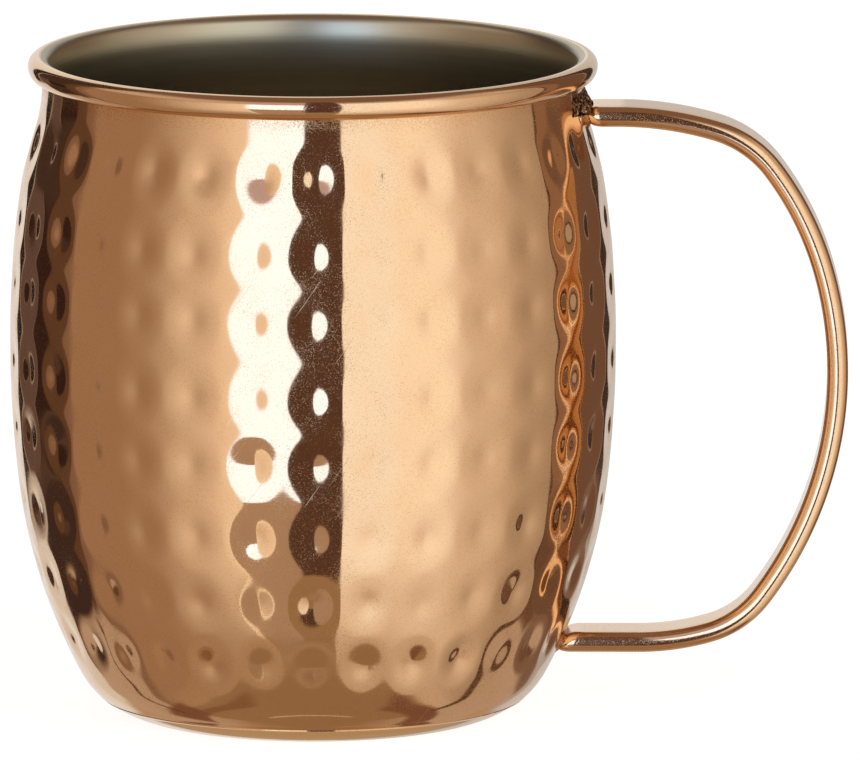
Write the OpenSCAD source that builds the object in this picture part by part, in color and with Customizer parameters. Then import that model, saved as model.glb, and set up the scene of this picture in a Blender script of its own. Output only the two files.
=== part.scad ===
// Barrel-shaped hammered mug with a rolled rim, a nested lining, a dished
// base and a handle bent from flat bar with rounded edges. Millimetres, +Z up,
// handle toward +X.
// The origin is the centre of the flat resting face.
// The directions in which arcs meet are whole-number triangles, such as
// 180, 19 and 181, so that the arcs touch exactly.

/* [Body] */
// Widest diameter of the body, at the belly
belly_d = 90; // [80:0.5:100]
// Radius of the long arc through the belly
belly_arc_r = 174.5; // [155:0.5:195]
// Radius of the arc that turns in above the belly
shoulder_arc_r = 74.95; // [68:0.05:82]
// Radius of the arc that turns in below the belly
lower_arc_r = 81.7; // [74:0.1:90]
// Radius of the arc that turns under at the foot
heel_arc_r = 13.02; // [11.7:0.02:14.3]
// Radius of the hollow of the neck
neck_arc_r = 18.47; // [16.5:0.01:20.5]
// Thickness of the copper sheet
wall_t = 1; // [0.9:0.05:1.1]

/* [Rim] */
// Height of the centre of the roll above the table
rim_z = 96.85; // [88:0.05:106]
// Upright stretch between the hollow of the neck and the centre of the roll
rim_rise = 2.58; // [2.3:0.01:3]
// Radius of the roll
roll_r = 1.75; // [1.6:0.05:1.9]
// Clear space between the end of the roll and the neck
roll_gap = 0.33; // [0.25:0.01:0.4]

/* [Lining] */
// Thickness of the steel lining
liner_t = 0.4; // [0.3:0.05:0.5]
// Distance of the lining's edge from the top of the roll
lip_back = 0.2; // [0.1:0.05:0.3]

/* [Base] */
// Part of the heel that the flat resting face cuts away
foot_sink = 0.48; // [0.4:0.02:0.56]
// Height of the seam between the base and the shell
seam_z = 2.7; // [2.4:0.1:3]
// Step of the base in from the shell at the seam
seam_step = 0.12; // [0.08:0.01:0.2]

/* [Handle] */
// Thickness of the bar
bar_t = 3.1; // [2.8:0.1:3.4]
// Width of the bar over its rounded edges
bar_w = 10; // [9:0.1:11]
// Distance of the upper arm below the centre of the roll
arm_drop = 6.9; // [6.3:0.1:7.5]
// Distance from the neck at which the upper arm starts to bend
arm_out = 5.17; // [4.5:0.01:7]
// Height of the lower arm above the table
foot_z = 10.95; // [9.9:0.05:12]
// Radius of the slight bend that ends the upper arm
bend_1 = 51.3; // [46:0.1:56]
// Radius of the upper corner
bend_2 = 16.5; // [15:0.1:18]
// Radius of the upper part of the grip
bend_3 = 46.2; // [42:0.1:51]
// Radius of the lower part of the grip
bend_5 = 56.5; // [51:0.1:62]
// Radius of the lower corner
bend_6 = 14.7; // [13:0.1:16]
// Radius of the slight bend that starts the lower arm
bend_7 = 38.1; // [34:0.1:42]

/* [Braze] */
// Width of the filler around the bar
braze_w = 0.8; // [0.7:0.05:1]
// Height of the filler above the body
braze_h = 0.6; // [0.5:0.05:0.7]
// Radius of the bead on top of the upper joint
bead_r = 1.6; // [1.4:0.05:1.8]
// Height of the bead's centre above the top of the bar
bead_rise = 0.45; // [0.4:0.05:0.6]
// Distance of the bead's centre from the neck
bead_out = 0.2; // [0.1:0.05:0.3]

/* [Hidden] */
$fn = 96;
// Larger than any half section, for the cuts
reach = 200;

// Directions from one arc's centre to the next, as [out, up]
shoulder_dir = [180, 19] / 181;
lower_dir = [144, -17] / 145;
heel_dir = [15, -8] / 17;

// Distances between the centres of neighbouring arcs
shoulder_gap = belly_arc_r - shoulder_arc_r;
lower_gap = belly_arc_r - lower_arc_r;
heel_gap = lower_arc_r - heel_arc_r;
neck_gap = shoulder_arc_r + neck_arc_r;

// Centres of the arcs, as [distance from the axis, height]
belly_c = [
    belly_d / 2 - belly_arc_r,
    heel_arc_r - foot_sink - heel_gap * heel_dir[1] - lower_gap * lower_dir[1]];
lower_c = belly_c + lower_gap * lower_dir;
heel_c = lower_c + heel_gap * heel_dir;
shoulder_c = belly_c + shoulder_gap * shoulder_dir;

// The hollow of the neck ends under the rim, at whatever height that is
neck_rise = (rim_z - rim_rise - shoulder_c[1]) / neck_gap;
neck_dir = [sqrt(1 - neck_rise * neck_rise), neck_rise];
neck_c = shoulder_c + neck_gap * neck_dir;
neck_r = neck_c[0] - neck_arc_r;
// The roll's inner side is flush with the lining, whose edge is let into it
roll_c = neck_r - wall_t - liner_t + roll_r;

// Arc of the outside at a height, as [centre, radius], less than 0 in a hollow
function side_arc(z) =
    z < heel_c[1] + heel_arc_r * heel_dir[1] ? [heel_c, heel_arc_r] :
    z < belly_c[1] + belly_arc_r * lower_dir[1] ? [lower_c, lower_arc_r] :
    z < belly_c[1] + belly_arc_r * shoulder_dir[1] ? [belly_c, belly_arc_r] :
    z < shoulder_c[1] + shoulder_arc_r * neck_dir[1] ? [shoulder_c, shoulder_arc_r] :
    [neck_c, -neck_arc_r];

// Slope of the side at a height, in degrees from upright
function side_tilt(z) = let (arc = side_arc(z)) asin((z - arc[0][1]) / arc[1]);

// Outside radius of the side at a height
function side_r(z) = let (arc = side_arc(z)) arc[0][0] + arc[1] * cos(side_tilt(z));

// Slice of a disc between two heights, right of the axis
module band(c, r, z0, z1) {
    difference() {
        intersection() {
            translate(c) circle(r = r, $fn = 720);
            translate([0, z0]) square(reach);
        }
        translate([0, z1]) square(reach);
    }
}

// Half section of the body, filled to the axis, drawn in by a distance
module filled_half(inset) {
    z0 = heel_c[1] - heel_arc_r + inset;
    z1 = heel_c[1] + (heel_arc_r - inset) * heel_dir[1];
    z2 = belly_c[1] + (belly_arc_r - inset) * lower_dir[1];
    z3 = belly_c[1] + (belly_arc_r - inset) * shoulder_dir[1];
    z4 = shoulder_c[1] + (shoulder_arc_r - inset) * neck_dir[1];
    difference() {
        union() {
            translate([0, z0]) square([heel_c[0], reach]);
            band(heel_c, heel_arc_r - inset, z0, z1);
        }
        translate([0, z1]) square(reach);
    }
    band(lower_c, lower_arc_r - inset, z1, z2);
    band(belly_c, belly_arc_r - inset, z2, z3);
    band(shoulder_c, shoulder_arc_r - inset, z3, z4);
    difference() {
        translate([0, z4]) square([neck_c[0], reach]);
        translate([0, neck_c[1]]) square(reach);
        translate(neck_c) circle(r = neck_arc_r + inset, $fn = 360);
    }
    difference() {
        translate([0, neck_c[1]]) square([neck_r - inset, reach]);
        translate([0, rim_z]) square(reach);
    }
}

// Filled body, for cutting what is joined to it, its seam away from the handle
module filled_body() {
    rotate([0, 0, 180]) rotate_extrude($fn = 360) filled_half(0);
}

// Section of the lining's edge, round the inner side of the roll
module lip() {
    intersection() {
        translate([roll_c, rim_z]) difference() {
            circle(r = roll_r);
            circle(r = roll_r - liner_t);
        }
        translate([0, rim_z]) square([roll_c - lip_back, reach]);
    }
}

module outer_shell() {
    color("#c98a5a") rotate_extrude() {
        difference() {
            filled_half(0);
            filled_half(wall_t);
            square([reach, seam_z]);
            translate([0, -reach]) square(reach);
        }
        difference() {
            translate([roll_c, rim_z]) circle(r = roll_r);
            translate([roll_c, rim_z]) circle(r = roll_r - liner_t - wall_t);
            translate([0, rim_z - reach]) square([neck_r + roll_gap, reach]);
            lip();
        }
    }
}

module inner_liner() {
    color("#a8a69c") rotate_extrude() {
        difference() {
            filled_half(wall_t);
            filled_half(wall_t + liner_t);
        }
        lip();
    }
}

module base_plate() {
    color("#b97a4c") rotate_extrude() intersection() {
        difference() {
            filled_half(seam_step);
            filled_half(wall_t);
        }
        square([reach, seam_z]);
    }
}

// Where the arms start to bend; hundredths, so that neighbouring bends meet exactly
arm_x = round(100 * (neck_r + arm_out)) / 100;
arm_z = rim_z - arm_drop;

// Directions from each bend's centre to its start and end, as [out, up]
bend_dir = [
    [0, 1], [0.28, 0.96], [0.8, 0.6], [0.96, 0.28],
    [0.96, -0.28], [0.8, -0.6], [0.28, -0.96], [0, -1]];

// Height that a bend of radius 1 takes up
function bend_drop(i) = bend_dir[i][1] - bend_dir[i + 1][1];

// The middle of the grip takes the height that the other bends leave, to the nearest hundredth
grip_drop = arm_z - foot_z - bend_1 * bend_drop(0) - bend_2 * bend_drop(1) - bend_3 * bend_drop(2)
    - bend_5 * bend_drop(4) - bend_6 * bend_drop(5) - bend_7 * bend_drop(6);
bend_4 = round(100 * grip_drop / bend_drop(3)) / 100;
bend_r = [bend_1, bend_2, bend_3, bend_4, bend_5, bend_6, bend_7];

// Centre of a bend, as [x, z]
function bend_c(i) = i == 0 ? [arm_x, arm_z] - bend_r[0] * bend_dir[0] :
    bend_c(i - 1) + (bend_r[i - 1] - bend_r[i]) * bend_dir[i];

// Where the lower arm starts, as [x, z]
foot_end = bend_c(6) + bend_7 * bend_dir[7];

// Section of the bar, thickness along x, with a margin around it
module bar_section(margin) {
    flat_w = bar_w - bar_t;
    square([bar_t + 2 * margin, flat_w], center = true);
    translate([0, flat_w / 2]) circle(d = bar_t + 2 * margin);
    translate([0, -flat_w / 2]) circle(d = bar_t + 2 * margin);
}

// One bend of the bar, a wedge of a ring
module bend(i) {
    translate([bend_c(i)[0], 0, bend_c(i)[1]]) rotate([90, 0, 0]) intersection() {
        rotate_extrude() translate([bend_r[i], 0]) bar_section(0);
        translate([0, 0, -bar_w]) linear_extrude(2 * bar_w)
            polygon(reach * [[0, 0], bend_dir[i], bend_dir[i] + bend_dir[i + 1], bend_dir[i + 1]]);
    }
}

// Level arm from the axis of the body out to a point of the bar's path
module level_arm(p) {
    translate([0, 0, p[1]]) rotate([0, 90, 0]) linear_extrude(p[0]) bar_section(0);
}

module handle() {
    color("#c98a5a") difference() {
        union() {
            level_arm([arm_x, arm_z]);
            for (i = [0 : len(bend_r) - 1]) bend(i);
            level_arm(foot_end);
        }
        filled_body();
    }
}

// Collar of filler standing on the body at a height
module filler(z) {
    translate([side_r(z), 0, z]) rotate([0, 90 - side_tilt(z), 0])
        translate([0, 0, -wall_t]) linear_extrude(wall_t + braze_h) bar_section(braze_w);
}

module upper_braze() {
    color("#6b4a35") difference() {
        union() {
            filler(arm_z);
            translate([neck_r + bead_out, 0, arm_z + bar_t / 2 + bead_rise]) sphere(r = bead_r);
        }
        level_arm([arm_x, arm_z]);
        filled_body();
    }
}

module lower_braze() {
    color("#6b4a35") difference() {
        filler(foot_end[1]);
        level_arm(foot_end);
        filled_body();
    }
}

outer_shell();
inner_liner();
base_plate();
handle();
upper_braze();
lower_braze();
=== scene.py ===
import bpy
import math
import random
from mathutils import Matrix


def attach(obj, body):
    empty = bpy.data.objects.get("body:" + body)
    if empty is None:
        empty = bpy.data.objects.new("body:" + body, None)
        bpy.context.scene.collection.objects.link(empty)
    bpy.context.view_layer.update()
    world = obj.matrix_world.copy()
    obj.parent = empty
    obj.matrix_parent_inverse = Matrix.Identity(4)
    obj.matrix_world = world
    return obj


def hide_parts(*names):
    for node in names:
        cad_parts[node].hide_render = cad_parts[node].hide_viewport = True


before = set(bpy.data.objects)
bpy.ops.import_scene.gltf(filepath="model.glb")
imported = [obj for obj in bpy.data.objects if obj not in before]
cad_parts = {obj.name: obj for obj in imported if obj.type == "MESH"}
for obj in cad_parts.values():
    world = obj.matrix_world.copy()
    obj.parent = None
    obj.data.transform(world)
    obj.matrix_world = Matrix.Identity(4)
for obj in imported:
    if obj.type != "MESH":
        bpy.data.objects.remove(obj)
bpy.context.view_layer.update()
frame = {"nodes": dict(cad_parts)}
mm = 0.001
print("frame loaded:", ", ".join(frame["nodes"]))


def hexColour(text, level=1.0):
    channels = [int(text[i:i + 2], 16) / 255 for i in (1, 3, 5)]
    linear = [c / 12.92 if c < 0.04045 else ((c + 0.055) / 1.055) ** 2.4 for c in channels]
    return (*[c * level for c in linear], 1.0)


# settings go to the node's own options or to its inputs, links join other nodes' outputs
def addNode(tree, kind, settings, links):
    node = tree.nodes.new("ShaderNode" + kind)
    for name, value in settings.items():
        if isinstance(name, int) or name in node.inputs:
            node.inputs[name].default_value = value
        else:
            setattr(node, name, value)
    for name, source in links.items():
        tree.links.new(source, node.inputs[name])
    return node


def newMaterial(name):
    material = bpy.data.materials.new(name)
    material.use_nodes = True
    material.node_tree.nodes.clear()
    return material, material.node_tree


def addPiece(name, points, faces, material, node, sharpDegrees=40):
    mesh = bpy.data.meshes.new(name)
    mesh.from_pydata(points, [], faces)
    mesh.validate()
    mesh.materials.append(material)
    piece = bpy.data.objects.new(name, mesh)
    bpy.context.scene.collection.objects.link(piece)
    mesh.shade_smooth()
    mesh.set_sharp_from_angle(angle=math.radians(sharpDegrees))
    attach(piece, "root")
    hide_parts(node)
    print(f"{name}: {len(points)} points, {len(faces)} faces")


# spins a section of (radius, height) points about the mug's axis; a point on the axis is one vertex
# move, where given, gives the radius and height of a section's point at each turn
def spinSection(section, columns, closed, move=None):
    points, rings = [], []
    for index, (radius, height) in enumerate(section):
        if radius < 1e-6:
            rings.append([len(points)] * columns)
            points.append((0.0, 0.0, height * mm))
            continue
        ring = []
        for column in range(columns):
            turn = 2 * math.pi * column / columns
            r, z = move(index, turn) if move else (radius, height)
            ring.append(len(points))
            points.append((r * math.cos(turn) * mm, r * math.sin(turn) * mm, z * mm))
        rings.append(ring)
    faces = []
    pairs = list(zip(rings, rings[1:] + rings[:1])) if closed else list(zip(rings, rings[1:]))
    for low, high in pairs:
        for column in range(columns):
            after = (column + 1) % columns
            corners = [low[column], low[after], high[after], high[column]]
            face = [c for i, c in enumerate(corners) if c not in corners[:i]]
            if len(face) > 2:
                faces.append(face)
    return points, faces


# the side of the mug in mm: arcs from the heel up, each (centre radius, centre height, arc radius)
side = {
    "heel": (23.26, 12.54, 13.02),
    "lower": (-37.34, 44.86, 81.7),
    "belly": (-129.5, 55.74, 174.5),
    "shoulder": (-30.5, 66.19, 74.95),
    "neck": (58.6, 94.27, 18.47),  # hollow
    "neckRadius": 40.13,
    "rimHeight": 96.85,
    "rollRadius": 1.75,
    "wall": 1.0,
    "lining": 0.4,
    "seamHeight": 2.7,
    "seamStep": 0.12,
}
rollCentre = side["neckRadius"] - side["wall"] - side["lining"] + side["rollRadius"]

# directions in which neighbouring arcs meet, as angles above level
meets = {
    "heel": math.atan2(-8, 15),
    "lower": math.atan2(-17, 144),
    "belly": math.atan2(19, 180),
    "shoulder": math.atan2(52, 165),
}


# points along the side drawn in by inset, from a height up to the rim's roll: (radius, height, slope)
def sidePath(inset, fromHeight, step):
    path = []
    first = math.asin((fromHeight - side["heel"][1]) / (side["heel"][2] - inset))
    for name in ("heel", "lower", "belly", "shoulder"):
        centreR, centreZ, radius = side[name]
        last = meets[name]
        count = max(2, round((last - first) * (radius - inset) / step))
        for i in range(count):
            slope = first + (last - first) * i / count
            path.append((
                centreR + (radius - inset) * math.cos(slope),
                centreZ + (radius - inset) * math.sin(slope),
                slope))
        first = last
    centreR, centreZ, radius = side["neck"]
    count = max(2, round(first * (radius + inset) / step))
    for i in range(count):
        slope = first * (1 - i / count)
        path.append((
            centreR - (radius + inset) * math.cos(slope),
            centreZ - (radius + inset) * math.sin(slope),
            slope))
    upright = side["rimHeight"] - centreZ
    count = max(2, round(upright / step))
    for i in range(count + 1):
        path.append((side["neckRadius"] - inset, centreZ + upright * i / count, 0.0))
    return path


# outside radius of the plain side at a height, in mm
def sideRadius(height):
    if height > side["neck"][1]:
        return side["neckRadius"]
    centreR, centreZ, radius = side["neck"]
    if height > centreZ - radius * math.sin(meets["shoulder"]):
        return centreR - math.sqrt(radius ** 2 - (height - centreZ) ** 2)
    for name in ("shoulder", "belly", "lower", "heel"):
        centreR, centreZ, radius = side[name]
        below = {"shoulder": "belly", "belly": "lower", "lower": "heel"}.get(name)
        if below is None or height > side[below][1] + side[below][2] * math.sin(meets[below]):
            return centreR + math.sqrt(radius ** 2 - (height - centreZ) ** 2)


# dents of the hammer in mm and degrees
hammering = {
    "heights": (13.2, 22.9, 33.0, 44.2, 54.0, 65.6, 75.1, 86.8),
    "columns": 31,
    "firstTurn": -89.2,
    "halfHeightAtEnds": 5.0,
    "coneDepth": 0.205,
    "coreDepth": 0.16,
    "coreWidth": 0.42,  # share of the dent's half width
    "topRow": {"depth": 1.2, "turn": 1.2},  # the top row is deeper and sits a little to the right
    "sides": {"columns": (5, 6, 7, 24, 25, 26, 27), "depth": 1.25},  # struck harder than the front
    "columnTurns": {30: 0.6},  # this column sits a little to the right
    # single blows that are harder or softer than the rest, by row and column
    "blows": {
        (7, 30): 1.3, (7, 0): 1.12, (7, 4): 0.75, (7, 5): 0.75, (3, 30): 1.5, (2, 30): 1.45, (2, 0): 0.9,
        (2, 4): 1.6, (1, 30): 0.75, (1, 0): 1.5, (1, 4): 1.5, (0, 27): 0.6, (0, 28): 1.5, (0, 29): 1.6,
        (0, 30): 0.8, (0, 0): 0.8, (0, 1): 1.3, (0, 2): 1.8, (0, 3): 1.8},
    "roundedTip": 0.1,
    "softRim": 0.006,
    "rowReach": 1.2,  # how far a dent reaches, in half heights
    "reach": 1.3,  # and in half sizes all round
    "jitter": 0.035,
    "depthSpread": 0.12,
    "clearOfJoint": (4.0, 7.5),  # no dents nearer a joint than the first, full depth past the second
    "seed": 7,
}
handleBar = {
    "thickness": 3.1,
    "width": 10.0,
    "armHeight": 89.95,
    "footHeight": 10.95,
    "bendStart": 45.3,
    "bendRadii": (51.3, 16.5, 46.2, 55.94, 56.5, 14.7, 38.1),
    # directions from each bend's centre to its start and end, as (out, up)
    "bendWays": (
        (0, 1), (0.28, 0.96), (0.8, 0.6), (0.96, 0.28),
        (0.96, -0.28), (0.8, -0.6), (0.28, -0.96), (0, -1)),
    "sunk": 0.45,
    "edgeSides": 20,
    "flatSides": 4,
    "step": 0.8,
    "armStep": 0.2,
    "endRounding": (2.2, 0.9),  # length of the rounded ends and how far they draw in
}

dentChance = random.Random(hammering["seed"])
dentPlaces = {}
for row in range(len(hammering["heights"])):
    for column in range(hammering["columns"]):
        aside = dentChance.uniform(-1, 1) * hammering["jitter"]
        along = dentChance.uniform(-1, 1) * hammering["jitter"]
        strength = 1 + dentChance.uniform(-1, 1) * hammering["depthSpread"]
        strength *= hammering["blows"].get((row, column), 1.0)
        aside += 2 * hammering["columnTurns"].get(column, 0.0) * hammering["columns"] / 360
        if column in hammering["sides"]["columns"]:
            strength *= hammering["sides"]["depth"]
        if row == len(hammering["heights"]) - 1:
            strength *= hammering["topRow"]["depth"]
            aside += 2 * hammering["topRow"]["turn"] * hammering["columns"] / 360
        dentPlaces[row, column] = (aside, along, strength)


# depth of one dent at a share of its half size from the centre
def dentProfile(share):
    cone = hammering["coneDepth"] * (1 - math.hypot(share, hammering["roundedTip"]))
    pit = hammering["coreDepth"] * math.exp(-(share / hammering["coreWidth"]) ** 2)
    depth = cone + pit
    soft = hammering["softRim"]
    return 0.5 * (depth + math.sqrt(depth * depth + soft * soft))


def makeDents(path):
    run, runs = 0.0, [0.0]
    for (r0, z0, _), (r1, z1, _) in zip(path, path[1:]):
        run += math.hypot(r1 - r0, z1 - z0)
        runs.append(run)
    rowRuns = []
    for height in hammering["heights"]:
        index = next(i for i, point in enumerate(path) if point[1] > height)
        share = (height - path[index - 1][1]) / (path[index][1] - path[index - 1][1])
        rowRuns.append(runs[index - 1] + share * (runs[index] - runs[index - 1]))
    ends = hammering["halfHeightAtEnds"]
    halfBelow = [ends] + [(b - a) / 2 for a, b in zip(rowRuns, rowRuns[1:])]
    halfAbove = halfBelow[1:] + [ends]
    pitch = 2 * math.pi / hammering["columns"]
    firstTurn = math.radians(hammering["firstTurn"])
    near, far = hammering["clearOfJoint"]
    reach = hammering["rowReach"]

    def depthAt(index, turn):
        here = runs[index]
        rows = [
            i for i, rowRun in enumerate(rowRuns)
            if -reach * halfBelow[i] < here - rowRun < reach * halfAbove[i]]
        if not rows:
            return 0.0
        place = (turn - firstTurn) / pitch
        nearest = round(place)
        depth = 0.0
        for row in rows:
            for column in (nearest - 1, nearest, nearest + 1):
                aside, along, strength = dentPlaces[row, column % hammering["columns"]]
                up = here - rowRuns[row]
                tall = up / (halfAbove[row] if up > 0 else halfBelow[row]) - along
                wide = 2 * (place - column) - aside
                share = math.hypot(wide, tall)
                if share < hammering["reach"]:
                    depth = max(depth, strength * dentProfile(share))
        radius, height, _ = path[index]
        for jointHeight in (handleBar["armHeight"], handleBar["footHeight"]):
            away = math.hypot(radius * math.sin(turn), height - jointHeight)
            if math.cos(turn) > 0 and away < far:
                t = max(0.0, (away - near) / (far - near))
                depth *= t * t * (3 - 2 * t)
        return depth

    return depthAt


copper = {
    "colour": "#f5d0a5",
    "worn": "#ecc298",
    "roughness": 0.05,
    "barRoughness": 0.08,  # the bar is less finely polished than the sheet
    "speckMm": 0.09,
    "speckRoughness": 0.24,
    "speckColour": "#e5b581",
    "cloudMm": 14.0,  # size of the slow changes in tone and polish
    "polishSpread": (0.7, 1.4),
    "speckPatchMm": 6.0,
    "speckPatchShare": 0.3,
    "speckLimits": (0.98, 1.14),
    "neckSpecks": 0.42,  # more specks from the first height up to the roll, where polishing is hard
    "neckHeightsMm": (92.8, 95.0, 95.05),
    "bodyRadiusMm": 45.0,
    "streakMm": 0.22,
    "streakLengthMm": 25.0,
    "streakHeightMm": 0.0012,
    "scratchMm": 0.25,
    "scratchLengthMm": 22.0,
    "scratchHeightMm": 0.003,
    "scratchSlant": -55,
    "scratchLimits": (0.71, 0.76),
}


# polished copper sheet: a warm mirror with fine dull specks, which scatter sparks over dark reflections,
# faint polishing streaks round the body and a few slanting scratches
def polishedCopper(name, roughness):
    material, tree = newMaterial(name)
    place = addNode(tree, "TexCoord", {}, {})
    where = place.outputs["Object"]
    cloud = addNode(
        tree, "TexNoise", {"Scale": 1 / (copper["cloudMm"] * mm), "Detail": 3.0}, {"Vector": where})
    tone = addNode(
        tree, "Mix",
        {"data_type": "RGBA", 6: hexColour(copper["colour"]), 7: hexColour(copper["worn"])},
        {0: cloud.outputs["Fac"]})
    least, most = copper["polishSpread"]
    polish = addNode(
        tree, "MapRange",
        {"From Min": 0.3, "From Max": 0.7, "To Min": roughness * least, "To Max": roughness * most},
        {"Value": cloud.outputs["Fac"]})
    parts = addNode(tree, "SeparateXYZ", {}, {"Vector": where})
    cells = addNode(tree, "TexVoronoi", {"Scale": 1 / (copper["speckMm"] * mm)}, {"Vector": where})
    cells = addNode(tree, "SeparateColor", {}, {"Color": cells.outputs["Color"]})
    patch = addNode(tree, "TexNoise", {"Scale": 1 / (copper["speckPatchMm"] * mm)}, {"Vector": where})
    specks = addNode(
        tree, "Math", {"operation": "MULTIPLY_ADD", 1: copper["speckPatchShare"]},
        {0: patch.outputs["Fac"], 2: cells.outputs["Red"]})
    low, high, roll = copper["neckHeightsMm"]
    neck = addNode(
        tree, "MapRange", {"From Min": low * mm, "From Max": high * mm, "To Max": copper["neckSpecks"]},
        {"Value": parts.outputs["Z"]})
    underRoll = addNode(tree, "Math", {"operation": "LESS_THAN", 1: roll * mm}, {0: parts.outputs["Z"]})
    specks = addNode(
        tree, "Math", {"operation": "MULTIPLY_ADD"},
        {0: neck.outputs["Result"], 1: underRoll.outputs["Value"], 2: specks.outputs["Value"]})
    low, high = copper["speckLimits"]
    specks = addNode(
        tree, "MapRange", {"From Min": low, "From Max": high}, {"Value": specks.outputs["Value"]})
    tone = addNode(
        tree, "Mix", {"data_type": "RGBA", 7: hexColour(copper["speckColour"])},
        {0: specks.outputs["Result"], 6: tone.outputs[2]})
    dull = addNode(
        tree, "Math", {"operation": "MULTIPLY_ADD", 1: copper["speckRoughness"]},
        {0: specks.outputs["Result"], 2: polish.outputs["Result"]})
    turn = addNode(tree, "Math", {"operation": "ARCTAN2"}, {0: parts.outputs["Y"], 1: parts.outputs["X"]})
    around = addNode(
        tree, "Math", {"operation": "MULTIPLY", 1: copper["bodyRadiusMm"] / copper["streakLengthMm"]},
        {0: turn.outputs["Value"]})
    up = addNode(
        tree, "Math", {"operation": "MULTIPLY", 1: 1 / (copper["streakMm"] * mm)}, {0: parts.outputs["Z"]})
    lay = addNode(tree, "CombineXYZ", {}, {"X": around.outputs["Value"], "Y": up.outputs["Value"]})
    streak = addNode(tree, "TexNoise", {"Scale": 1.0}, {"Vector": lay.outputs["Vector"]})
    longMm = copper["scratchLengthMm"]
    slant = addNode(
        tree, "Mapping",
        {"vector_type": "TEXTURE", "Rotation": (0.0, math.radians(copper["scratchSlant"]), 0.0),
         "Scale": (longMm * mm, longMm * mm, copper["scratchMm"] * mm)},
        {"Vector": where})
    scratch = addNode(tree, "TexNoise", {"Scale": 1.0}, {"Vector": slant.outputs["Vector"]})
    low, high = copper["scratchLimits"]
    scratch = addNode(
        tree, "MapRange",
        {"From Min": low, "From Max": high, "To Min": 0.0, "To Max": -copper["scratchHeightMm"]},
        {"Value": scratch.outputs["Fac"]})
    relief = addNode(
        tree, "Math", {"operation": "MULTIPLY_ADD", 1: copper["streakHeightMm"]},
        {0: streak.outputs["Fac"], 2: scratch.outputs["Result"]})
    bump = addNode(tree, "Bump", {"Strength": 1.0, "Distance": mm}, {"Height": relief.outputs["Value"]})
    shader = addNode(
        tree, "BsdfPrincipled", {"Metallic": 1.0},
        {"Base Color": tone.outputs[2], "Roughness": dull.outputs["Value"],
         "Normal": bump.outputs["Normal"]})
    addNode(tree, "OutputMaterial", {}, {"Surface": shader.outputs["BSDF"]})
    return material


steel = {
    "colour": "#d6cdb3",
    "shade": "#c0baa2",
    "roughness": 0.34,
    "roughnessSpread": 0.06,
    "radiusMm": 40.0,
    "lineMm": 0.35,  # real brush lines are finer; this is as coarse as they need to be to show
    "lineLengthMm": 40.0,
    "lineHeightMm": 0.006,
}


# spun stainless steel: brush lines run round the mug and spread highlights up and down
def brushedSteel():
    material, tree = newMaterial("brushedStainlessSteel")
    place = addNode(tree, "TexCoord", {}, {})
    parts = addNode(tree, "SeparateXYZ", {}, {"Vector": place.outputs["Object"]})
    turn = addNode(tree, "Math", {"operation": "ARCTAN2"}, {0: parts.outputs["Y"], 1: parts.outputs["X"]})
    around = addNode(
        tree, "Math", {"operation": "MULTIPLY", 1: steel["radiusMm"] / steel["lineLengthMm"]},
        {0: turn.outputs["Value"]})
    up = addNode(
        tree, "Math", {"operation": "MULTIPLY", 1: 1 / (steel["lineMm"] * mm)}, {0: parts.outputs["Z"]})
    lay = addNode(tree, "CombineXYZ", {}, {"X": around.outputs["Value"], "Y": up.outputs["Value"]})
    lines = addNode(tree, "TexNoise", {"Scale": 1.0, "Detail": 3.0}, {"Vector": lay.outputs["Vector"]})
    tone = addNode(
        tree, "Mix", {"data_type": "RGBA", 6: hexColour(steel["shade"]), 7: hexColour(steel["colour"])},
        {0: lines.outputs["Fac"]})
    spread = steel["roughnessSpread"]
    polish = addNode(
        tree, "MapRange", {"To Min": steel["roughness"] - spread, "To Max": steel["roughness"] + spread},
        {"Value": lines.outputs["Fac"]})
    bump = addNode(
        tree, "Bump", {"Strength": 1.0, "Distance": steel["lineHeightMm"] * mm},
        {"Height": lines.outputs["Fac"]})
    shader = addNode(
        tree, "BsdfPrincipled", {"Metallic": 1.0},
        {"Base Color": tone.outputs[2], "Roughness": polish.outputs["Result"],
         "Normal": bump.outputs["Normal"]})
    addNode(tree, "OutputMaterial", {}, {"Surface": shader.outputs["BSDF"]})
    return material


filler = {
    "metal": "#c89468",
    "scale": "#1e1511",
    # dark from this height up: partly fire scale, partly a painted dark reflection of the corner under the
    # rim
    "scaleAndShadeAboveMm": (90.4, 90.9),
    "lowScale": 0.15,  # share of the scale that is left below that
    "spotLimits": (0.38, 0.55),
    "roughness": (0.22, 0.59),  # bare metal, scale
    "crustMm": 0.5,
    "crustHeightMm": 0.12,
}
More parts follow.
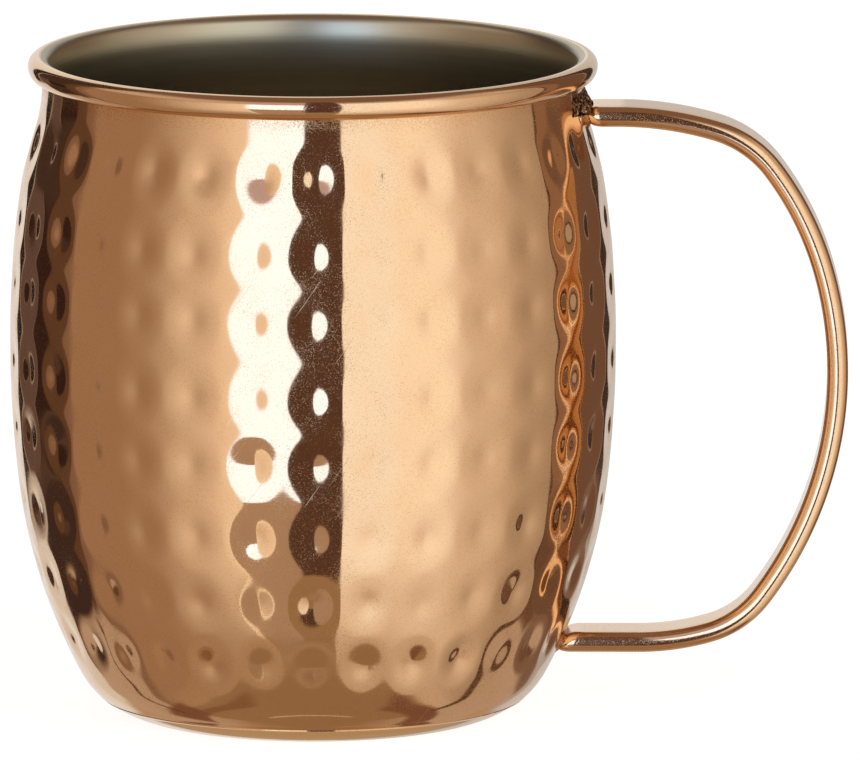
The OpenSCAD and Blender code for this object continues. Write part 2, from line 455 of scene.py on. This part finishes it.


# brazing filler: dull copper metal, under a dark broken crust on top of the upper arm; the crust's dark
# colour is partly fire scale and partly a painted dark reflection of the corner under the rim
def brazedFiller():
    material, tree = newMaterial("brazedFillerWithScaleAndShade")
    place = addNode(tree, "TexCoord", {}, {})
    crust = addNode(
        tree, "TexNoise", {"Scale": 1 / (filler["crustMm"] * mm), "Detail": 4.0},
        {"Vector": place.outputs["Object"]})
    low, high = filler["spotLimits"]
    spots = addNode(tree, "MapRange", {"From Min": low, "From Max": high}, {"Value": crust.outputs["Fac"]})
    parts = addNode(tree, "SeparateXYZ", {}, {"Vector": place.outputs["Object"]})
    low, high = filler["scaleAndShadeAboveMm"]
    above = addNode(
        tree, "MapRange", {"From Min": low * mm, "From Max": high * mm, "To Min": filler["lowScale"]},
        {"Value": parts.outputs["Z"]})
    # dark colour: fire scale, and above that height also a painted dark reflection of the corner under the
    # rim
    scaleAndShade = addNode(
        tree, "Math", {"operation": "MULTIPLY"},
        {0: spots.outputs["Result"], 1: above.outputs["Result"]})
    tone = addNode(
        tree, "Mix", {"data_type": "RGBA", 6: hexColour(filler["metal"]), 7: hexColour(filler["scale"])},
        {0: scaleAndShade.outputs["Value"]})
    bare, scaled = filler["roughness"]
    dull = addNode(tree, "MapRange", {"To Min": bare, "To Max": scaled}, {"Value": scaleAndShade.outputs["Value"]})
    bump = addNode(
        tree, "Bump", {"Strength": 0.8, "Distance": filler["crustHeightMm"] * mm},
        {"Height": crust.outputs["Fac"]})
    shader = addNode(
        tree, "BsdfPrincipled", {"Metallic": 0.9},
        {"Base Color": tone.outputs[2], "Roughness": dull.outputs["Result"],
         "Normal": bump.outputs["Normal"]})
    addNode(tree, "OutputMaterial", {}, {"Surface": shader.outputs["BSDF"]})
    return material


copperFinish = polishedCopper("polishedCopperSheet", copper["roughness"])
barFinish = polishedCopper("polishedCopperBar", copper["barRoughness"])
steelFinish = brushedSteel()
fillerFinish = brazedFiller()
print("materials made")


shell = {
    "columns": 434,
    "step": 0.63,
    "insideStep": 7.0,
    "curlSteps": 24,
    "curlInsideSteps": 7,
    "underSteps": 8,
    "curlGap": 0.33,
    "curlTop": 1.5,  # radius of the curl's upper half; its lower half hangs down to the roll's full depth
    "lipBack": 0.2,
    "edgeRound": 0.15,
}


def makeShell():
    outer = sidePath(0, side["seamHeight"] + shell["edgeRound"], shell["step"])
    depthAt = makeDents(outer)
    inner = sidePath(side["wall"], side["seamHeight"], shell["insideStep"])
    section = [(r, z) for r, z, _ in outer]
    hollow = side["rollRadius"] - side["lining"] - side["wall"]
    for i in range(shell["curlInsideSteps"] + 1):  # the hollow inside the curl, three quarters round
        a = math.pi * (1 - 1.5 * i / shell["curlInsideSteps"])
        section.append((rollCentre + hollow * math.cos(a), side["rimHeight"] + hollow * math.sin(a)))
    top = shell["curlTop"]
    outerR = rollCentre + side["rollRadius"] - top
    outerZ = side["rimHeight"] + side["rollRadius"] - top
    hang = outerZ - side["rimHeight"] + side["rollRadius"]
    endTurn = math.acos((side["neckRadius"] + shell["curlGap"] - outerR) / top)
    lipTurn = math.acos((rollCentre - shell["lipBack"] - outerR) / top)
    for i in range(shell["curlSteps"] + 1):  # back round the outside of the curl
        a = -endTurn + (lipTurn + endTurn) * i / shell["curlSteps"]
        section.append((outerR + top * math.cos(a), outerZ + (top if a > 0 else hang) * math.sin(a)))
    under = side["rollRadius"] - side["lining"]
    for i in range(shell["underSteps"] + 1):  # under the lining's edge
        a = math.acos(-shell["lipBack"] / under)
        a += (math.pi - a) * i / shell["underSteps"]
        section.append((rollCentre + under * math.cos(a), side["rimHeight"] + under * math.sin(a)))
    section += [(r, z) for r, z, _ in reversed(inner[:-1])]
    # two points round the lower edge
    edgeR, _, edgeSlope = outer[0]
    section.append((edgeR - 1.4 * shell["edgeRound"] * math.cos(edgeSlope), side["seamHeight"]))
    section.append((edgeR - 0.5 * shell["edgeRound"], side["seamHeight"] + 0.3 * shell["edgeRound"]))

    def move(index, turn):
        r, z = section[index]
        if index < len(outer):
            slope = outer[index][2]
            depth = depthAt(index, turn)
            return r - depth * math.cos(slope), z - depth * math.sin(slope)
        return r, z

    points, faces = spinSection(section, shell["columns"], True, move)
    addPiece("hammeredShell", points, faces, copperFinish, "outer_shell")


makeShell()


lining = {
    "columns": 320,
    "step": 1.5,
    "outsideStep": 7.0,
    "lipSteps": 16,
    "flareFrom": 94.6,
    "flareTo": 97.5,
    "flareSlope": 0.3,
    "topGap": 0.03,
    "lipGap": 0.02,
    "floorRings": 8,
}


def makeLining():
    wall = side["wall"]
    thick = wall + side["lining"]
    heelZ = side["heel"][1] - side["heel"][2]
    # out along the underside, up the outside, over the roll, down the inside and in along the floor
    section = [(0, heelZ + wall), (side["heel"][0] * 0.5, heelZ + wall)]
    section += [(r, z) for r, z, _ in sidePath(wall, heelZ + wall + 1e-6, lining["outsideStep"])]
    under = side["rollRadius"] - side["lining"]
    endTurn = math.acos(-shell["lipBack"] / under)
    for i in range(1, lining["lipSteps"] + 1):
        a = math.pi + (endTurn - math.pi) * i / lining["lipSteps"]
        section.append((rollCentre + under * math.cos(a), side["rimHeight"] + under * math.sin(a)))
    # the inside flares a little below the rim and then rounds over to the top of the roll
    start, end, slope = lining["flareFrom"], lining["flareTo"], lining["flareSlope"]
    insideR = side["neckRadius"] - thick
    flareR = insideR + slope * (end - start) / 2
    tilt = math.atan(slope)
    topZ = side["rimHeight"] + side["rollRadius"] - lining["topGap"]
    lipR = (topZ - end) / (1 - math.sin(tilt))
    lipCentre = flareR + lipR * math.cos(tilt)
    lastTurn = math.acos((rollCentre - shell["lipBack"] - lining["lipGap"] - lipCentre) / lipR)
    for i in range(lining["lipSteps"] + 1):
        a = lastTurn + (math.pi - tilt - lastTurn) * i / lining["lipSteps"]
        section.append((lipCentre + lipR * math.cos(a), topZ - lipR + lipR * math.sin(a)))
    for i in range(1, lining["lipSteps"]):
        z = end + (start - end) * i / lining["lipSteps"]
        section.append((insideR + slope / 2 * (z - start) ** 2 / (end - start), z))
    inside = [(r, z) for r, z, _ in sidePath(thick, heelZ + thick + 1e-6, lining["step"]) if z < start]
    section += reversed(inside)
    for i in range(1, lining["floorRings"]):
        section.append((side["heel"][0] * (1 - i / lining["floorRings"]), heelZ + thick))
    section.append((0, heelZ + thick))
    points, faces = spinSection(section, lining["columns"], False)
    addPiece("steelLining", points, faces, steelFinish, "inner_liner")


makeLining()


base = {
    "columns": 320,
    "heelSteps": 24,
    "floorRings": 6,
    "edgeRound": 0.1,
    "edgeLip": 0.15,  # how far the upper edge turns out
    "edgeLipHeight": 0.5,
}


def makeBase():
    centreR, centreZ, radius = side["heel"]
    outerR = radius - side["seamStep"]
    innerR = radius - side["wall"]
    flatSlope = math.asin(-centreZ / outerR)
    topSlope = math.asin((side["seamHeight"] - base["edgeRound"] - centreZ) / outerR)
    flatR = centreR + outerR * math.cos(flatSlope)
    section = [(0, 0.0)]
    section += [(flatR * i / base["floorRings"], 0.0) for i in range(1, base["floorRings"])]
    for i in range(base["heelSteps"] + 1):
        slope = flatSlope + (topSlope - flatSlope) * i / base["heelSteps"]
        z = centreZ + outerR * math.sin(slope)
        near = max(0.0, 1 - (side["seamHeight"] - base["edgeRound"] - z) / base["edgeLipHeight"])
        reach = outerR + base["edgeLip"] * near ** 2
        section.append((centreR + reach * math.cos(slope), centreZ + reach * math.sin(slope)))
    section.append((section[-1][0] - base["edgeRound"], side["seamHeight"]))
    innerTop = math.asin((side["seamHeight"] - centreZ) / innerR)
    for i in range(base["heelSteps"]):
        slope = innerTop + (-math.pi / 2 - innerTop) * i / base["heelSteps"]
        section.append((centreR + innerR * math.cos(slope), centreZ + innerR * math.sin(slope)))
    for i in range(base["floorRings"]):
        section.append((centreR * (1 - i / base["floorRings"]), centreZ - innerR))
    section.append((0, centreZ - innerR))
    points, faces = spinSection(section, base["columns"], False)
    addPiece("basePlate", points, faces, copperFinish, "base_plate")


makeBase()


# centre line of the bar in mm as (x, z, way out of the bend), from the upper joint to the lower one
def barPath():
    ways, radii = handleBar["bendWays"], handleBar["bendRadii"]
    path = []
    startX = sideRadius(handleBar["armHeight"]) - handleBar["sunk"]
    count = round((handleBar["bendStart"] - startX) / handleBar["armStep"])
    for i in range(count):
        x = startX + (handleBar["bendStart"] - startX) * i / count
        path.append((x, handleBar["armHeight"], math.pi / 2))
    centre = (handleBar["bendStart"], handleBar["armHeight"] - radii[0])
    for i, radius in enumerate(radii):
        first = math.atan2(ways[i][1], ways[i][0])
        last = math.atan2(ways[i + 1][1], ways[i + 1][0])
        count = max(4, round((first - last) * radius / handleBar["step"]))
        for k in range(count):
            a = first + (last - first) * k / count
            path.append((centre[0] + radius * math.cos(a), centre[1] + radius * math.sin(a), a))
        if i + 1 < len(radii):
            shift = radius - radii[i + 1]
            centre = (centre[0] + shift * ways[i + 1][0], centre[1] + shift * ways[i + 1][1])
    footX, footZ = centre[0], centre[1] - radii[-1]
    endX = sideRadius(footZ) - handleBar["sunk"]
    count = round((footX - endX) / handleBar["armStep"])
    for i in range(count + 1):
        path.append((footX + (endX - footX) * i / count, footZ, -math.pi / 2))
    return path


# outline of the bar's section as ways round it: (centre across, direction out, direction across)
def barOutline():
    flat = (handleBar["width"] - handleBar["thickness"]) / 2
    sides, flats = handleBar["edgeSides"], handleBar["flatSides"]
    outline = []
    for sign in (1, -1):
        for i in range(sides + 1):
            a = math.pi * i / sides
            outline.append((sign * flat, sign * math.cos(a), sign * math.sin(a)))
        for i in range(1, flats):
            outline.append((sign * flat * (1 - 2 * i / flats), -sign, 0.0))
    return outline


# how far the side of the mug lies from the axis, toward the handle, at a place across and up
def sideX(across, height):
    return math.sqrt(sideRadius(height) ** 2 - across ** 2)


def makeHandle():
    path, outline = barPath(), barOutline()
    half = handleBar["thickness"] / 2
    longRounding, drawIn = handleBar["endRounding"]
    count = len(outline)
    points, faces = [], []
    lastRing = len(path) - 1
    for index, (x, z, way) in enumerate(path):
        level = abs(math.cos(way)) < 1e-9
        for across, out, aside in outline:
            inset = 0.0
            px = x + half * out * math.cos(way)
            py = across + half * aside
            pz = z + half * out * math.sin(way)
            if index in (0, lastRing):  # the ends follow the curve of the side
                px = sideX(py, pz) - handleBar["sunk"]
            if level:
                near = 1 - max(0.0, px - sideX(py, pz)) / longRounding
                inset = drawIn * (1 - math.sqrt(1 - near * near)) if near > 0 else 0.0
            py = across * (1 - inset / handleBar["width"]) + (half - inset) * aside
            pz = z + (half - inset) * out * math.sin(way)
            points.append((px * mm, py * mm, pz * mm))
    for index in range(lastRing):
        for k in range(count):
            after = (k + 1) % count
            faces.append([
                index * count + k, index * count + after,
                (index + 1) * count + after, (index + 1) * count + k])
    for index, ring in ((0, range(count)), (lastRing, reversed(range(count)))):
        x, z, _ = path[index]
        points.append((x * mm, 0.0, z * mm))
        order = list(ring)
        for k, following in zip(order, order[1:] + order[:1]):
            faces.append([index * count + following, index * count + k, len(points) - 1])
    addPiece("barHandle", points, faces, barFinish, "handle")


makeHandle()


braze = {
    "sunk": 0.3,
    # margin outside the bar and height above the side, from the mug up into the bar's rounded end
    "section": ((0.15, 0.0), (0.05, 0.05), (-0.1, 0.12), (-0.3, 0.25), (-0.45, 0.4)),
    "hidden": -1.1,
    "rough": 0.35,
    "crustSides": (-12.0, 4.2),
    "crustLow": 91.1,
    "crustHigh": 94.2,
    "crustThick": 1.5,
    "crustStep": 0.22,
    "crustJitter": 0.06,
    "crustUneven": (0.45, 1.0),
    "crustFade": 6,  # the crust thins out over a sixth of its length at either end
    "crustSunk": 0.05,
    "seed": 3,
}


# filler in the groove between the rounded end of the bar and the side of the mug
def grooveFiller(height):
    chance = random.Random(braze["seed"])
    outline = barOutline()
    half = handleBar["thickness"] / 2
    sections = [(margin, rise, True) for margin, rise in braze["section"]]
    sections.append((braze["hidden"], braze["section"][-1][1], False))
    sections.append((braze["hidden"], -braze["sunk"], False))
    sections.append((braze["section"][0][0], -braze["sunk"], False))
    ripple = [1 + braze["rough"] * chance.uniform(-1, 1) for _ in outline]
    points, faces = [], []
    for margin, rise, rough in sections:
        for k, (across, out, aside) in enumerate(outline):
            scale = ripple[k] if rough else 1.0
            reach = half + (margin * scale if margin > 0 else margin)
            y, z = across + reach * aside, height + reach * out
            points.append(((sideX(y, z) + rise * scale) * mm, y * mm, z * mm))
    count, rings = len(outline), len(sections)
    for i in range(rings):
        for k in range(count):
            after = (k + 1) % count
            low, high = i * count, (i + 1) % rings * count
            faces.append([low + k, low + after, high + after, high + k])
    return points, faces


# lumpy crust on the upper arm, in the corner under the rim; its dark colour is partly fire scale and
# partly a painted dark reflection
def crust():
    chance = random.Random(braze["seed"] + 1)
    (left, right), low, high = braze["crustSides"], braze["crustLow"], braze["crustHigh"]
    columns = round((right - left) / braze["crustStep"])
    rows = round((high - low) / braze["crustStep"])
    jitter = braze["crustJitter"]
    points, faces = [], []
    for row in range(rows + 1):
        for column in range(columns + 1):
            y = left + (right - left) * column / columns + chance.uniform(-jitter, jitter)
            z = low + (high - low) * row / rows + chance.uniform(-jitter, jitter)
            fall = 1 - row / rows
            edge = min(1.0, braze["crustFade"] * min(column, columns - column) / columns)
            thick = braze["crustThick"] * fall * edge * chance.uniform(*braze["crustUneven"])
            points.append(((sideX(y, z) + thick - braze["crustSunk"]) * mm, y * mm, z * mm))
    front = len(points)
    for row in range(rows + 1):
        for column in range(columns + 1):
            y = left + (right - left) * column / columns
            z = low + (high - low) * row / rows
            points.append(((sideX(y, z) - braze["sunk"]) * mm, y * mm, z * mm))

    # one corner of the grid, on the front (0) or the back (1)
    def at(row, column, layer):
        return layer * front + row * (columns + 1) + column

    for r in range(rows):
        for c in range(columns):
            faces.append([at(r, c, 0), at(r, c + 1, 0), at(r + 1, c + 1, 0), at(r + 1, c, 0)])
            faces.append([at(r, c, 1), at(r + 1, c, 1), at(r + 1, c + 1, 1), at(r, c + 1, 1)])
    for c in range(columns):
        faces.append([at(0, c, 1), at(0, c + 1, 1), at(0, c + 1, 0), at(0, c, 0)])
        faces.append([at(rows, c, 0), at(rows, c + 1, 0), at(rows, c + 1, 1), at(rows, c, 1)])
    for r in range(rows):
        faces.append([at(r, 0, 0), at(r + 1, 0, 0), at(r + 1, 0, 1), at(r, 0, 1)])
        faces.append([at(r, columns, 1), at(r + 1, columns, 1), at(r + 1, columns, 0), at(r, columns, 0)])
    return points, faces


def makeBrazes():
    points, faces = grooveFiller(handleBar["armHeight"])
    crustPoints, crustFaces = crust()
    faces += [[corner + len(points) for corner in face] for face in crustFaces]
    addPiece("upperBraze", points + crustPoints, faces, fillerFinish, "upper_braze", 30)
    points, faces = grooveFiller(handleBar["footHeight"])
    addPiece("lowerBraze", points, faces, fillerFinish, "lower_braze", 60)


makeBrazes()


floor = {"radius": 1.6, "sides": 96, "colour": "#f2f1ef", "shade": 0.6, "glow": 0.87}


# matt white card under the mug; its glow keeps it as white as the backdrop and leaves a soft shadow
def makeFloor():
    material, tree = newMaterial("whiteCard")
    matt = addNode(tree, "BsdfDiffuse", {"Color": hexColour(floor["colour"], floor["shade"])}, {})
    glow = addNode(tree, "Emission", {"Color": hexColour("#ffffff"), "Strength": floor["glow"]}, {})
    both = addNode(tree, "AddShader", {}, {0: matt.outputs["BSDF"], 1: glow.outputs["Emission"]})
    addNode(tree, "OutputMaterial", {}, {"Surface": both.outputs["Shader"]})
    count = floor["sides"]
    turns = [2 * math.pi * k / count for k in range(count)]
    points = [(floor["radius"] * math.cos(t), floor["radius"] * math.sin(t), 0.0) for t in turns]
    mesh = bpy.data.meshes.new("floor")
    mesh.from_pydata(points, [], [list(range(count))])
    mesh.materials.append(material)
    card = bpy.data.objects.new("floor", mesh)
    bpy.context.scene.collection.objects.link(card)
    card.visible_glossy = False  # the metal shows the studio's panels, which go on below the card


makeFloor()


# the camera's place round the mug; the handle points a little toward it
view = {
    "turnDegrees": 0.8,
    "riseDegrees": 9.65,
    "aimAsideMm": 17.36,
    "aimHeightMm": 49.7,
    "distanceMm": 3000.0,
    "lens": 845.5,
    "sensorMm": 36.0,
    "sightMetres": 20.0,
}

# the studio round the mug, in degrees from the camera and above level:
# name, from and to, soft edges, low and high, soft edges, colour, brightness
studio = {
    "walls": ("#80685a", 1.0),
    "panels": (
        ("table", (-200, 200), (1, 1), (-100, -50), (1, 12), "#a8917a", 1.0),
        ("left table", (-104, -26), (10, 1), (-56, -46), (2, 12), "#ad947c", 1.0),
        ("right table", (12, 107.5), (1, 10), (-56, -46), (2, 12), "#c9b8a9", 1.0),
        ("shadow under the heel", (-200, 200), (1, 1), (-100, -56), (1, 2), "#9a7f66", 1.0),
        ("edge of the shadow", (-65, 55), (25, 25), (-78, -76.5), (1, 1), "#d2bfa8", 1.0),
        ("ceiling", (-112, 107.5), (12, 12), (24, 52), (14, 20), "#cdbcb0", 1.0),
        ("left wall", (-111, -26), (2, 4), (-50, 26), (14, 16), "#a38873", 1.0),
        ("left wall's shade", (-111, -105), (2, 6), (-50, 26), (14, 16), "#876d5f", 1.0),
        ("left glow", (-52, -26), (56, 4), (-42, 26), (36, 14), "#ede1d7", 1.08),
        ("softbox side", (-34, -26), (14, 3), (-30, 26), (24, 10), "#f6ebe0", 1.05),
        ("right wall", (12, 107.5), (1, 2), (-50, 26), (8, 16), "#b2a293", 1.0),
        ("right glow", (12, 84), (1, 40), (-50, 26), (12, 16), "#e4d6cc", 1.0),
        ("right panel", (12, 56), (1, 24), (-33, 38), (34, 14), "#fffefc", 1.12),
        ("right panel's middle", (12, 30), (1, 18), (-33, 38), (34, 14), "#f2f8ff", 1.25),
        ("stand", (-26.5, 12), (2, 1), (-50, -19.5), (10, 2), "#9e8569", 1.0),
        ("above the softbox", (-26.6, -3.1), (3, 1), (24.5, 50), (3, 20), "#c6b8ca", 1.0),
        ("softbox", (-26.6, -3.1), (3, 1), (-19.5, 24.5), (1.5, 3), "#bfd8ff", 2.55),
        ("softbox foot", (-26.5, -3.1), (1, 1), (-50, -19.5), (10, 1.5), "#b19c8c", 1.0),
        ("softbox foot's edge", (-28, -26.4), (0.6, 0.6), (-48, -19.5), (12, 2), "#fff4e8", 1.0),
        ("camera side", (-3.1, 12), (1, 1), (-36, 60), (4, 8), "#59423a", 1.0),
        ("left skirt", (-154, -111), (1, 2), (-70, -29), (20, 3), "#bcaa9d", 1.0),
        ("right skirt", (108, 156), (1, 2), (-70, -31), (20, 3), "#bcaa9d", 1.0),
        # painted shadow: dark panels for the mug's own shadow on the table round its heel, as the metal
        # sees it
        ("left painted shadow", (-136, -98), (6, 10), (-63, -51), (2, 3), "#7d5b4b", 1.0),
        ("left painted shadow's end", (-98, -45), (10, 14), (-63.5, -59), (1.5, 1.5), "#86674f", 1.0),
        ("right painted shadow", (58, 142), (12, 6), (-66, -57), (3, 2), "#7d5b4b", 1.0),
        ("left flag", (-118.5, -111), (0.4, 2), (-30, 50), (3, 20), "#604839", 1.0),
        ("left flag's edge", (-121, -119), (1, 1), (-56, -30), (8, 3), "#4a3027", 1.0),
        ("left post", (-134, -118.5), (0.4, 1), (-14, 50), (5, 20), "#342422", 1.0),
        ("left curtain's edge", (-135, -134), (0.4, 0.4), (-14, 50), (5, 20), "#7d6f63", 1.0),
        ("left curtain", (-144.5, -135), (0.4, 0.4), (-14, 50), (5, 20), "#63514c", 1.0),
        ("left curtain's head", (-144.5, -118.5), (0.4, 0.4), (-1.5, 50), (5, 20), "#453631", 1.0),
        ("left curtain's foot", (-141, -118), (3, 1), (-27, -14), (3, 5), "#40312f", 1.0),
        ("left curtain's hem", (-146, -144.5), (0.4, 0.4), (-14, 50), (5, 20), "#a89888", 1.0),
        ("left gap", (-154, -146), (1, 0.4), (-14, 50), (5, 20), "#2a2424", 1.0),
        ("right flag's front", (109, 118), (0.6, 3), (-31, 50), (3, 20), "#90705c", 1.0),
        ("right flag's foot", (109, 122), (0.6, 4), (-32, -18), (3, 6), "#6d5345", 1.0),
        ("right flag", (118, 144), (3, 0.4), (-27, 50), (2, 20), "#72584a", 1.0),
        ("right flag's edge", (107.5, 109), (0.6, 0.6), (-31, 50), (3, 20), "#4a362e", 1.0),
        ("right flag's lower edge", (104.5, 109.5), (1, 1), (-58, -31), (4, 3), "#5a4034", 1.0),
        ("right flag's hem", (144, 145.2), (0.4, 0.4), (-14, 50), (5, 20), "#a89888", 1.0),
        ("right gap", (145.2, 156), (0.4, 1), (-14, 50), (5, 20), "#40342f", 1.0),
        # painted shade: the card just behind the mug, brown as if in the mug's own shadow, as the metal
        # sees it
        ("left floor in painted shade", (-200, -148), (1, 6), (-76, -34), (6, 8), "#b8a286", 1.0),
        ("right floor in painted shade", (148, 200), (6, 1), (-76, -34), (6, 8), "#b8a286", 1.0),
        ("left backdrop's foot", (-160, -141), (1, 3), (-36, -15), (6, 5), "#ffffff", 0.75),
        ("right backdrop's foot", (150, 160), (3, 1), (-36, -15), (6, 5), "#ffffff", 0.45),
        ("left backdrop", (-200, -154), (1, 1), (-33, 45), (6, 6), "#ffffff", 0.83),
        ("right backdrop", (156, 200), (1, 1), (-33, 45), (6, 6), "#ffffff", 0.63),
    ),
}


def makeStudio():
    world = bpy.data.worlds.new("studio")
    bpy.context.scene.world = world
    world.use_nodes = True
    tree = world.node_tree
    tree.nodes.clear()
    place = addNode(tree, "TexCoord", {}, {})
    parts = addNode(tree, "SeparateXYZ", {}, {"Vector": place.outputs["Generated"]})
    front = addNode(tree, "Math", {"operation": "MULTIPLY", 1: -1.0}, {0: parts.outputs["Y"]})
    turn = addNode(
        tree, "Math", {"operation": "ARCTAN2"}, {0: parts.outputs["X"], 1: front.outputs["Value"]})
    turn = addNode(tree, "Math", {"operation": "DEGREES"}, {0: turn.outputs["Value"]})
    turn = addNode(
        tree, "Math", {"operation": "SUBTRACT", 1: view["turnDegrees"]}, {0: turn.outputs["Value"]})
    rise = addNode(tree, "Math", {"operation": "ARCSINE"}, {0: parts.outputs["Z"]})
    rise = addNode(tree, "Math", {"operation": "DEGREES"}, {0: rise.outputs["Value"]})
    picture = None
    for _, (start, end), asideSoft, (low, high), upSoft, colour, level in studio["panels"]:
        cover = None
        for source, edge, soft, ends in (
                (turn, start, asideSoft[0], (0.0, 1.0)), (turn, end, asideSoft[1], (1.0, 0.0)),
                (rise, low, upSoft[0], (0.0, 1.0)), (rise, high, upSoft[1], (1.0, 0.0))):
            fade = addNode(
                tree, "MapRange",
                {"interpolation_type": "SMOOTHSTEP",
                 "From Min": edge - soft / 2, "From Max": edge + soft / 2,
                 "To Min": ends[0], "To Max": ends[1]},
                {"Value": source.outputs["Value"]})
            if cover is None:
                cover = fade.outputs["Result"]
            else:
                both = addNode(
                    tree, "Math", {"operation": "MULTIPLY"}, {0: cover, 1: fade.outputs["Result"]})
                cover = both.outputs["Value"]
        mix = addNode(
            tree, "Mix",
            {"data_type": "RGBA", 6: hexColour(*studio["walls"]), 7: hexColour(colour, level)},
            {0: cover, **({6: picture} if picture else {})})
        picture = mix.outputs[2]
    room = addNode(tree, "Background", {}, {"Color": picture})
    white = addNode(tree, "Background", {"Color": hexColour("#ffffff"), "Strength": 1.0}, {})
    rays = addNode(tree, "LightPath", {}, {})
    seen = addNode(
        tree, "MixShader", {},
        {0: rays.outputs["Is Camera Ray"], 1: room.outputs["Background"], 2: white.outputs["Background"]})
    addNode(tree, "OutputWorld", {}, {"Surface": seen.outputs["Shader"]})


makeStudio()
print("studio made")


def makeCamera():
    camera = bpy.data.cameras.new("camera")
    camera.sensor_width = view["sensorMm"]
    camera.lens = view["lens"]
    camera.clip_end = view["sightMetres"]
    holder = bpy.data.objects.new("camera", camera)
    bpy.context.scene.collection.objects.link(holder)
    turn, rise = math.radians(view["turnDegrees"]), math.radians(view["riseDegrees"])
    aside, away = view["aimAsideMm"], view["distanceMm"]
    holder.location = (
        (aside * math.cos(turn) + away * math.sin(turn) * math.cos(rise)) * mm,
        (aside * math.sin(turn) - away * math.cos(turn) * math.cos(rise)) * mm,
        (view["aimHeightMm"] + away * math.sin(rise)) * mm)
    holder.rotation_euler = (math.pi / 2 - rise, 0.0, turn)
    bpy.context.scene.camera = holder


makeCamera()
bpy.context.scene.view_settings.view_transform = "Standard"
print("camera set")
